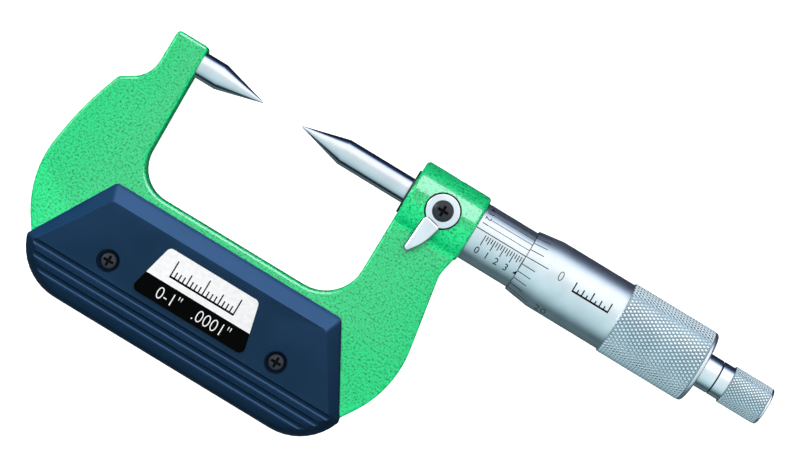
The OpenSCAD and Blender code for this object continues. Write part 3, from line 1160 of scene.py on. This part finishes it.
def border_keys(tube: Piece, ends: Sequence[float]) -> set[tuple[int, int]]:
    """Keys of the edges that lie in the end planes of a tube.

    Args:
        tube: The tube.
        ends: Places of its end planes, in millimetres.

    Returns:
        The sorted vertex pair of each such edge.
    """
    keys = set()
    for edge in tube.data.edges:
        places = [tube.data.vertices[i].co.x / MM for i in edge.vertices]
        if any(all(abs(p - end) < 0.001 for p in places) for end in ends):
            keys.add(tuple(sorted(edge.vertices)))
    return keys


@dataclass(frozen=True)
class Knurl:
    """A diamond knurl: small cut-off pyramids in rows on a tube."""

    depth: float
    slope: float
    starts: int
    rows: int
    wall: float = 0.35
    core_gap: float = 0.12

    def core(self, radius: float) -> float:
        """Radius of the core under a tube with this radius over its crests."""
        return radius - self.depth - self.core_gap

    def build(self, name: str, radius: float, x0: float, x1: float) -> Piece:
        """Turns the tube and raises its pyramids.

        The outer wall is divided into a grid, every square is poked, and the grid's own
        edges are dissolved, which leaves diamonds; each diamond is then inset and raised.

        Args:
            name: Name of the piece.
            radius: Radius over the crests.
            x0: Start along the axis.
            x1: End along the axis.

        Returns:
            The knurled tube.
        """
        low = radius - self.depth
        inner = low - self.wall
        wall = [Corner(x0 + (x1 - x0) * i / self.rows, low) for i in range(self.rows + 1)]
        tube = lathe(name, [Corner(x0, inner), *wall, Corner(x1, inner)], self.starts)
        limit = (low - 0.02) * MM

        def outside(part: bpy.types.MeshPolygon | bpy.types.MeshEdge) -> bool:
            """Whether a face or an edge belongs to the outer wall."""
            return all(math.hypot(*tube.data.vertices[i].co.yz) > limit for i in part.vertices)

        old = len(tube.data.vertices)
        pick(tube, faces=outside)
        with editing(tube):
            bpy.ops.mesh.poke()
        rim = border_keys(tube, (x0, x1))
        pick(tube, edges=lambda e: max(e.vertices) < old and tuple(sorted(e.vertices)) not in rim
             and outside(e))
        with editing(tube, "EDGE"):
            bpy.ops.mesh.dissolve_edges(use_verts=False)
        pick(tube, faces=outside)
        with editing(tube):
            bpy.ops.mesh.inset(thickness=self.slope * MM, depth=self.depth * MM, use_individual=True)
        return tube


# ---------------------------------------------------------------- measuring parts


@dataclass
class Points:
    """Anvil and spindle with their pointed ends."""

    tip: float = 0.15
    half_angle: float = 15.0
    clearance: float = 0.01
    thread_from: float = 50.34
    thread_end: float = 40.2
    pitch: float = 0.635
    turns: int = 63
    root: float = 3.14
    crest: float = 3.5
    relief: float = 2.9
    undercut: tuple[float, float, float] = (1.2, 1.0, 0.2)
    crest_steps: tuple[float, float] = (0.28, 0.36)
    shoulder: tuple[float, float] = (12.3, 11.8)
    taper_from: float = 9.1
    taper_end: float = 3.4

    def point(self, radius: float) -> list[Corner]:
        """Profile of a point from its tip at 0 back along +X to the full radius."""
        half = math.radians(self.half_angle)
        arc = [math.radians(a) for a in range(90, int(self.half_angle) - 1, -15)]
        nose = [Corner(self.tip * (1 - math.sin(a)), self.tip * math.cos(a)) for a in arc]
        length = (radius - nose[-1].y) / math.tan(half) + nose[-1].x
        return nose + [Corner(length, radius)]

    def anvil(self) -> Piece:
        """The fixed point, whose shank ends inside the casting."""
        low, high = span("anvil")
        radius = high.z
        profile = [Corner(-c.x - self.clearance, c.y) for c in self.point(radius)]
        profile += [Corner(low.x, radius, 0.3), Corner(low.x, 0)]
        return lathe("anvil_point", profile)

    def spindle(self) -> Piece:
        """The moving point with its stem, its thread rings and its taper."""
        low, high = span("spindle")
        gap = low.x
        radius = span("anvil")[1].z
        thread, relief = gap + self.thread_from, self.relief
        profile = [Corner(gap + c.x + self.clearance, c.y) for c in self.point(radius)]
        edge, floor, end = (thread - step for step in self.undercut)
        profile += [Corner(edge, radius, 0.1), Corner(floor, relief), Corner(end, relief)]
        for i in range(self.turns):
            start = thread + i * self.pitch
            profile.append(Corner(start, self.root))
            profile += [Corner(start + step, self.crest) for step in self.crest_steps]
        profile += [
            Corner(thread + self.thread_end, relief), Corner(high.x - self.shoulder[0], relief),
            Corner(high.x - self.shoulder[1], high.z), Corner(high.x - self.taper_from, high.z),
            Corner(high.x, self.taper_end), Corner(high.x, 0)
        ]
        return lathe("spindle_point", profile, 96, 4)

    def dress(self, finishes: Finishes) -> None:
        """Builds and finishes both points."""
        finishes.dress(self.anvil(), "ground", Body.FRAME, "anvil", smooth=12)
        finishes.dress(self.spindle(), "ground", Body.SPINDLE, "spindle", smooth=12)


@dataclass
class Sleeve:
    """The graduated sleeve with its inch scale and its vernier lines."""

    bore: float = 5.54
    zero: float = 59.14
    division: float = 0.635
    datum: float = 8.0
    line: float = 0.21
    thin: float = 0.15
    first_gap: float = 0.55
    long: float = 2.65
    middle: float = 1.75
    short: float = 1.25
    digit: float = 1.85
    vernier_digit: float = 1.5
    vernier_step: float = 12.96
    rear_gap: float = 0.6
    spanner: float = 0.6
    spanner_from: float = 8.2

    def __post_init__(self) -> None:
        """Takes the sleeve's ends and radius from the CAD frame."""
        low, high = span("outer_sleeve")
        self.start, self.end, self.radius = low.x, high.x, high.z

    def build(self) -> Piece:
        """Turns the sleeve and drills its spanner hole."""
        profile = [
            Corner(self.start, self.bore), Corner(self.start, self.radius, 0.08),
            Corner(self.end, self.radius, 0.3), Corner(self.end, self.bore)
        ]
        sleeve = lathe("sleeve_tube", profile, ROUND_STEPS, 4)
        hole = rod("spanner_hole", self.spanner, (self.start + self.spanner_from, 0, -9), 5, Axis.Z, 32)
        combine(sleeve, hole)
        return sleeve

    def scale(self) -> Piece:
        """Datum line, inch divisions, vernier lines and their digits, wrapped on the sleeve."""
        marks = [stroke(self.start, self.end - self.rear_gap, -self.thin * 0.7, self.thin * 0.7)]
        for i in range(41):
            x = self.zero + i * self.division
            reach = self.long if i % 4 == 0 else self.middle if i % 2 == 0 else self.short
            low = -self.first_gap - reach
            marks.append(stroke(x - self.line / 2, x + self.line / 2, low, -self.first_gap, 8))
        step = math.radians(self.vernier_step) * self.radius
        for i in range(1, 11):
            y = i * step
            low, high = y - self.thin / 2, y + self.thin / 2
            marks.append(stroke(self.zero - 0.55, self.end - self.rear_gap, low, high))
        for mark in marks:
            thicken(mark, INK_DEPTH)
        for i in range(11):
            digit = lettering("digit", str(i % 10), self.digit, thin=-0.01)
            x = self.zero + 4 * i * self.division - 0.1
            place(digit, (x, -self.first_gap - self.long - 0.62 - self.digit / 2, 0))
            marks.append(digit)
        for i in range(1, 11):
            digit = lettering("digit", str(i % 10), self.vernier_digit, thin=-0.02)
            place(digit, (self.zero - 1.5, i * step, 0), -90)
            marks.append(digit)
        scale = joined(marks, "sleeve_scale")
        sliced(scale, SLICE)
        wrap(scale, lambda x: self.radius, self.datum)
        return scale

    def dress(self, finishes: Finishes) -> None:
        """Builds and finishes the sleeve and its scale."""
        finishes.dress(self.build(), "satin", Body.SLEEVE, "outer_sleeve")
        finishes.dress(self.scale(), "ink_and_painted_shade", Body.SLEEVE)


@dataclass
class Thimble:
    """The bevelled, graduated and knurled thimble."""

    edge_wall: float = 0.37
    bore: float = 7.25
    plain: float = 8.5
    bevel: float = 6.1
    grip_from: float = 25.25
    rear_round: float = 0.85
    knurl: Knurl = Knurl(0.28, 0.2, 57, 14)
    groove: tuple[float, float] = (0.38, 0.36)
    band: float = 0.15
    dip: float = 0.05
    face: float = 0.14
    cone: tuple[float, float, float] = (9.1, 4.42, 3.42)
    digit: float = 2.5
    divisions: int = 25
    zero_angle: float = 8.0
    line: float = 0.2
    short: float = 3.5
    long: float = 5.8

    def __post_init__(self) -> None:
        """Takes the thimble's ends and radius from the CAD frame."""
        low, high = span("thimble")
        self.start, self.end, self.radius = low.x, high.x, high.y
        self.grip = self.start + self.grip_from
        self.rear = self.end - self.rear_round - self.band
        self.seat = span("spindle")[1].x

    def surface(self, x: float) -> float:
        """Radius of the smooth outside at a place along the axis."""
        part = min(max((x - self.start) / self.bevel, 0.0), 1.0)
        edge = self.bore + self.edge_wall
        return edge + (self.plain - edge) * part

    def build(self) -> Piece:
        """Turns the smooth body, with a lower band where the knurled tube sits."""
        low = self.knurl.core(self.radius)
        top, face = self.radius - self.dip, self.face
        shoulder, groove = self.groove
        length, root, mouth = self.cone
        profile = [
            Corner(self.start, self.bore), Corner(self.start, self.bore + face),
            Corner(self.start + face, self.bore + self.edge_wall + 0.02),
            Corner(self.start + self.bevel, self.plain, 3.0), Corner(self.grip - shoulder, self.plain, 0.1),
            Corner(self.grip - groove, low), Corner(self.rear, low), Corner(self.rear, top, 0.1),
            Corner(self.end, top, self.rear_round), Corner(self.end, mouth),
            Corner(self.seat, mouth), Corner(self.seat - length, root), Corner(self.seat - length, self.bore)
        ]
        return lathe("thimble_body", profile, ROUND_STEPS, 6)

    def scale(self) -> Piece:
        """Division lines round the bevel, every fifth one longer and numbered."""
        marks = []
        step = 2 * math.pi / self.divisions
        for i in range(self.divisions):
            length = self.long if i % 5 == 0 else self.short
            mark = stroke(self.start + 0.16, self.start + length, -self.line / 2, self.line / 2)
            thicken(mark, INK_DEPTH)
            wrap(mark, self.surface, self.zero_angle + math.degrees(step) * i)
            marks.append(mark)
            if i % 5 == 0:
                digit = lettering("digit", str(i), self.digit, 1.15, 0.82, 0.06)
                place(digit, (self.start + 9.1, 0, 0))
                sliced(digit, SLICE)
                wrap(digit, self.surface, self.zero_angle + math.degrees(step) * i)
                marks.append(digit)
        return joined(marks, "thimble_scale")

    def dress(self, finishes: Finishes) -> None:
        """Builds and finishes the body, the knurled band, the scale and the ruler sign."""
        body = self.build()
        # Faces at the front edge and in the groove before the knurl are left unpicked and take black oxide as
        # painted shade; the rest is satin.
        edge, groove = self.start + 0.1, self.grip - 0.3
        pick(body, faces=lambda f: f.center.x > edge * MM and not (
            abs(f.center.x / MM - groove) < 0.3 and math.hypot(*f.center.yz) < (self.plain - 0.05) * MM))
        finishes.dress(body, "satin", Body.SPINDLE, "thimble", smooth=25, rest="oxide_and_painted_shade")
        band = self.knurl.build("thimble_knurl", self.radius, self.grip - 0.1, self.rear)
        # crest faces get the lighter tint, groove walls the darker one: painted highlight and painted shade
        finishes.dress(band, "knurl", Body.SPINDLE, smooth=12, rest="groove")
        finishes.dress(self.scale(), "ink_and_painted_shade", Body.SPINDLE)
        sign = ruler_marks("thimble_ruler", 9.6, 2.5, 0.3, 8)
        place(sign, (self.start + 17.6, -0.4, 0))
        sliced(sign, SLICE)
        wrap(sign, self.surface, self.zero_angle)
        finishes.dress(sign, "ink_and_painted_shade", Body.SPINDLE)


@dataclass
class Ratchet:
    """The friction stop behind the thimble."""

    collar: float = 4.2
    neck: float = 3.7
    gap: float = 0.26
    stem: float = 1.72
    shoulder: float = 2.34
    chamber: float = 3.3
    cap: float = 3.6
    knurl: Knurl = Knurl(0.24, 0.15, 36, 9)
    grip_from: float = 2.8
    grip_end: float = 0.6
    cap_depth: float = 1.4
    floor: float = 2.2

    def seat(self) -> Piece:
        """The fixed collar."""
        low, high = span("ratchet_seat")
        step = high.x - self.gap
        return lathe("ratchet_collar", [
            Corner(low.x, self.stem), Corner(low.x, self.collar, 0.3),
            Corner(step, self.collar, 0.08),
            Corner(step, self.neck), Corner(high.x, self.neck), Corner(high.x, self.stem)
        ])

    def knob(self) -> Piece:
        """The turning collar and the core of the knob."""
        low, high = span("ratchet_knob")
        radius = high.y
        neck = low.x + self.grip_from
        core = self.knurl.core(radius)
        rear = high.x - self.grip_end
        return lathe("ratchet_knob_body", [
            Corner(low.x, self.shoulder), Corner(low.x, self.collar, 0.08), Corner(neck, self.collar),
            Corner(neck, core), Corner(rear, core), Corner(rear, radius - 0.06, 0.1),
            Corner(high.x, radius - 0.06, 0.5), Corner(high.x, self.cap),
            Corner(high.x - self.cap_depth, self.cap), Corner(high.x - self.cap_depth, self.chamber),
            Corner(low.x + self.floor, self.chamber), Corner(low.x + self.floor, self.shoulder)
        ])

    def dress(self, finishes: Finishes) -> None:
        """Builds and finishes the stop and the hidden pieces in it."""
        low, high = span("ratchet_knob")
        collar = self.seat()
        # The neck in the gap between the collars takes black oxide as painted shade; the collar's outside
        # stays bright.
        pick(collar, faces=lambda f: math.hypot(*f.center.yz) > (self.neck + 0.02) * MM)
        finishes.dress(collar, "bright", Body.SPINDLE, "ratchet_seat", rest="oxide_and_painted_shade")
        finishes.dress(self.knob(), "bright", Body.RATCHET, "ratchet_knob")
        start, end = low.x + self.grip_from, high.x - self.grip_end
        grip = self.knurl.build("ratchet_knurl", high.y, start, end)
        # crest faces get the lighter tint, groove walls the darker one: painted highlight and painted shade
        finishes.dress(grip, "knurl", Body.RATCHET, smooth=12, rest="groove")
        cap_low, cap_high = span("ratchet_cap")
        cap = lathe("ratchet_cap_disc", [
            Corner(cap_low.x, 0), Corner(cap_low.x, cap_high.y), Corner(cap_high.x - 0.25, cap_high.y),
            Corner(cap_high.x, cap_high.y - 0.3, 0.2), Corner(cap_high.x, 0)
        ])
        finishes.dress(cap, "satin", Body.RATCHET, "ratchet_cap")
        finishes.dress_nodes(ratchet_screw="oiled", ratchet_washer="ground", ratchet_spring="wire")


@dataclass
class Lock:
    """The spindle lock: a ring with a leaf-shaped blade, held by a black screw."""

    screw_head: float = 2.48
    screw_height: float = 1.33
    spot_heights: tuple[float, float] = (6.98, 7.04)
    spot_radii: tuple[float, float] = (2.1, 4.25)
    bore: float = 1.62
    ring_inset: float = 0.08
    ring_edge: float = 0.28
    blade: tuple[Corner, ...] = (Corner(-3.0, -2.5, 1.0), Corner(1.55, -3.5, 0.9), Corner(0.22, -8.46, 12.0))
    tip_x: float = -3.66
    tip_past: float = 1.9
    blade_edge: float = 0.72
    blade_sink: float = 0.6

    def build(self) -> Piece:
        """Ring and raised blade, both with rounded edges, bored for the stud."""
        low, high = span("lock_lever")
        radius = (high.x - low.x) / 2 - self.ring_inset
        centre_x = (low.x + high.x) / 2
        ring_top = span("lock_lever_screw")[1].z - self.screw_height - 0.02
        ring = rod("lock_ring", radius, (0, 0, low.z), ring_top - low.z, Axis.Z, 96)
        soften(ring, self.ring_edge, 3)
        corners = [*self.blade, Corner(self.tip_x, low.y - self.tip_past, 0.8)]
        blade = prism("blade", rounded(corners, 12), ring_top - self.blade_sink, high.z)
        top = high.z * MM - 1e-6
        points = blade.data.vertices
        pick(blade, edges=lambda e: all(points[i].co.z > top for i in e.vertices))
        bevel_picked(blade, self.blade_edge, 6)
        lever = joined([ring, blade], "lock_lever_leaf")
        combine(lever, rod("stud_bore", self.bore, (0, 0, 0), 20, Axis.Z, 48))
        place(lever, (centre_x, 0, 0))
        return lever

    def dress(self, finishes: Finishes) -> None:
        """Builds and finishes the lever, its screw and the stud, and lays a black ring of painted shade on
        the spot face.
        """
        finishes.dress(self.build(), "bright", Body.LOCK, "lock_lever", smooth=40)
        low, high = span("lock_lever_screw")
        x = (low.x + high.x) / 2
        head = DomedScrew(self.screw_head, self.screw_height, shank_radius=0.8, shank_length=3.5, cross=3.4)
        seat = Vector((x, 0, high.z - self.screw_height))
        screw = head.build("lock_screw", seat)
        # the cross recess gets black ink as painted shade; the dome keeps the oxide
        pick(screw, faces=lambda f: head.on_head(f.center / MM - seat))
        finishes.dress(screw, "oxide_and_painted_shade", Body.LOCK, "lock_lever_screw", rest="ink_and_painted_shade")
        finishes.dress_nodes(lock_stud="oiled")
        # A thin black ring on the spot-face floor round the lever ring: painted shade in the gap between ring
        # and spot face.
        (low, high), (hole, rim) = self.spot_heights, self.spot_radii
        ring = [Corner(low, hole), Corner(low, rim), Corner(high, rim), Corner(high, hole)]
        spot = lathe("lock_spot_painted_shade", ring, 96)
        upright(spot)
        place(spot, (x, 0, 0))
        finishes.dress(spot, "ink_and_painted_shade", Body.FRAME)


# ---------------------------------------------------------------- studio


@dataclass
class Studio:
    """Pale floor, soft light from above and the camera that looks straight down."""

    floor_size: float = 1600.0
    camera_height: float = 596.0
    camera_foot: tuple[float, float] = (42.0, -8.95)
    camera_turn: float = 31.27
    lens: float = 117.0
    floor_glow: float = 0.75

    SKY = (
        (-180, (0.02, 0.03, 0.04)), (-150, (0.05, 0.08, 0.09)), (-128, (0.13, 0.20, 0.22)),
        (-119, (0.12, 0.19, 0.21)), (-110, (0.03, 0.06, 0.08)), (-98, (0.03, 0.07, 0.09)),
        (-84, (0.20, 0.34, 0.39)), (-72, (0.44, 0.64, 0.69)), (-47, (0.68, 0.92, 0.99)),
        (-23, (0.80, 1.01, 1.07)), (0, (0.88, 1.04, 1.09)), (11, (0.94, 1.07, 1.11)),
        (24, (1.22, 1.28, 1.32)), (36, (1.45, 1.50, 1.52)), (70, (1.42, 1.48, 1.52)),
        (82, (0.80, 1.05, 1.40)), (90, (0.14, 0.26, 0.50)), (97, (0.015, 0.03, 0.08)),
        (125, (0.008, 0.012, 0.04)), (180, (0.012, 0.02, 0.04)),
    )

    def floor(self) -> None:
        """A pale floor under the lowest point of the instrument."""
        bpy.ops.object.select_all(action="DESELECT")
        bpy.ops.mesh.primitive_plane_add(size=self.floor_size * MM, location=(0, 0, CAD_BOX[0][2]))
        floor = bpy.context.object
        floor.name = "studio_floor"
        m = Finish("studio_floor")
        m.put(Base_Color=m.ramp(m.noise(3, 2.0), [(0.3, (0.90, 0.90, 0.90)), (0.7, (0.93, 0.93, 0.93))]))
        m.put(Roughness=0.9, Specular_IOR_Level=0.1)
        m.put(Emission_Strength=self.floor_glow, Emission_Color=(1.0, 1.0, 1.0, 1.0))
        floor.data.materials.append(m.material)
        floor.visible_glossy = False

    def sky(self) -> None:
        """Light that changes round the measuring axis, from a white band to a dark rear edge."""
        world = bpy.data.worlds.new("studio_sky")
        bpy.context.scene.world = world
        world.use_nodes = True
        world.cycles_visibility.diffuse = False
        nodes = Nodes(world.node_tree)
        split = nodes.add("SeparateXYZ", Vector=nodes.add("TexCoord").outputs["Generated"])
        turn = nodes.add("Math")
        turn.operation = "ARCTAN2"
        for axis, side in zip("YZ", turn.inputs):
            nodes.tree.links.new(split.outputs[axis], side)
        spread = nodes.add("MapRange", Value=turn.outputs["Value"], From_Min=-math.pi, From_Max=math.pi)
        stops = [((angle + 180) / 360, colour) for angle, colour in self.SKY]
        nodes.feed(nodes.tree.nodes["Background"], Color=nodes.ramp(spread.outputs["Result"], stops))

    def softbox(self, name: str, direction: Sequence[float], distance: float, size: tuple[float, float],
                power: float) -> Piece:
        """A rectangular light that faces the instrument.

        Args:
            name: Name of the light.
            direction: Where it stands, seen from the instrument.
            distance: How far away, in metres.
            size: Width and height in metres.
            power: Power in watts.

        Returns:
            The light.
        """
        centre = (Vector(CAD_BOX[0]) + Vector(CAD_BOX[1])) / 2
        bpy.ops.object.light_add(type="AREA", location=centre + Vector(direction).normalized() * distance)
        light = bpy.context.object
        light.name = name
        light.data.shape = "RECTANGLE"
        light.data.size, light.data.size_y = size
        light.data.energy = power
        light.rotation_euler = Vector(direction).to_track_quat("Z", "Y").to_euler()
        return light

    def accent_lights(self, casting: Piece, grips: Sequence[Piece]) -> None:
        """A gleam for the enamel alone and a low light for the grips alone.

        Args:
            casting: The enamelled casting.
            grips: The grip plates.
        """
        gleam = self.softbox("gleam_light", (0.0, 0.73, 0.68), 0.9, (1.2, 0.84), 34.0)
        gleam.data.color = (0.88, 0.76, 1.0)
        gleam.visible_diffuse = False
        low = self.softbox("low_light", (-0.46, 0.87, 0.15), 0.9, (0.6, 0.1), 70.0)
        low.visible_glossy = False
        for light, pieces in ((gleam, [casting, *grips]), (low, grips)):
            lit = bpy.data.collections.new(light.name + "_receivers")
            for piece in pieces:
                lit.objects.link(piece)
            light.light_linking.receiver_collection = lit

    def camera(self) -> None:
        """The camera, straight above the instrument and turned about its own axis."""
        x, y = self.camera_foot
        bpy.ops.object.camera_add(location=(x * MM, y * MM, self.camera_height * MM),
                                  rotation=(0, 0, math.radians(self.camera_turn)))
        camera = bpy.context.object
        camera.data.lens = self.lens
        camera.data.sensor_width = 36.0
        camera.data.clip_start = 0.01
        bpy.context.scene.camera = camera

    def build(self) -> None:
        """Sets up floor, light and camera."""
        self.floor()
        self.sky()
        self.softbox("key_light", (-0.06, 0.02, 1.0), 0.9, (0.8, 0.4), 8.6).visible_glossy = False
        self.softbox("side_light", (-0.9, 0.15, 0.42), 1.0, (0.3, 0.8), 2.4)
        self.camera()
        bpy.context.scene.view_settings.view_transform = "Standard"


def main() -> None:
    """Builds the studio and every sub-assembly in order."""
    logging.basicConfig(level=logging.INFO, format="%(name)s %(message)s")
    studio = Studio()
    studio.build()
    finishes = Finishes()
    casting = Casting()
    body = casting.dress(finishes)
    body.visible_glossy = False
    studio.accent_lights(body, Grips(casting).dress(finishes))
    for part in (Points(), Sleeve(), Thimble(), Ratchet(), Lock()):
        part.dress(finishes)


if __name__ == "__main__":
    main()
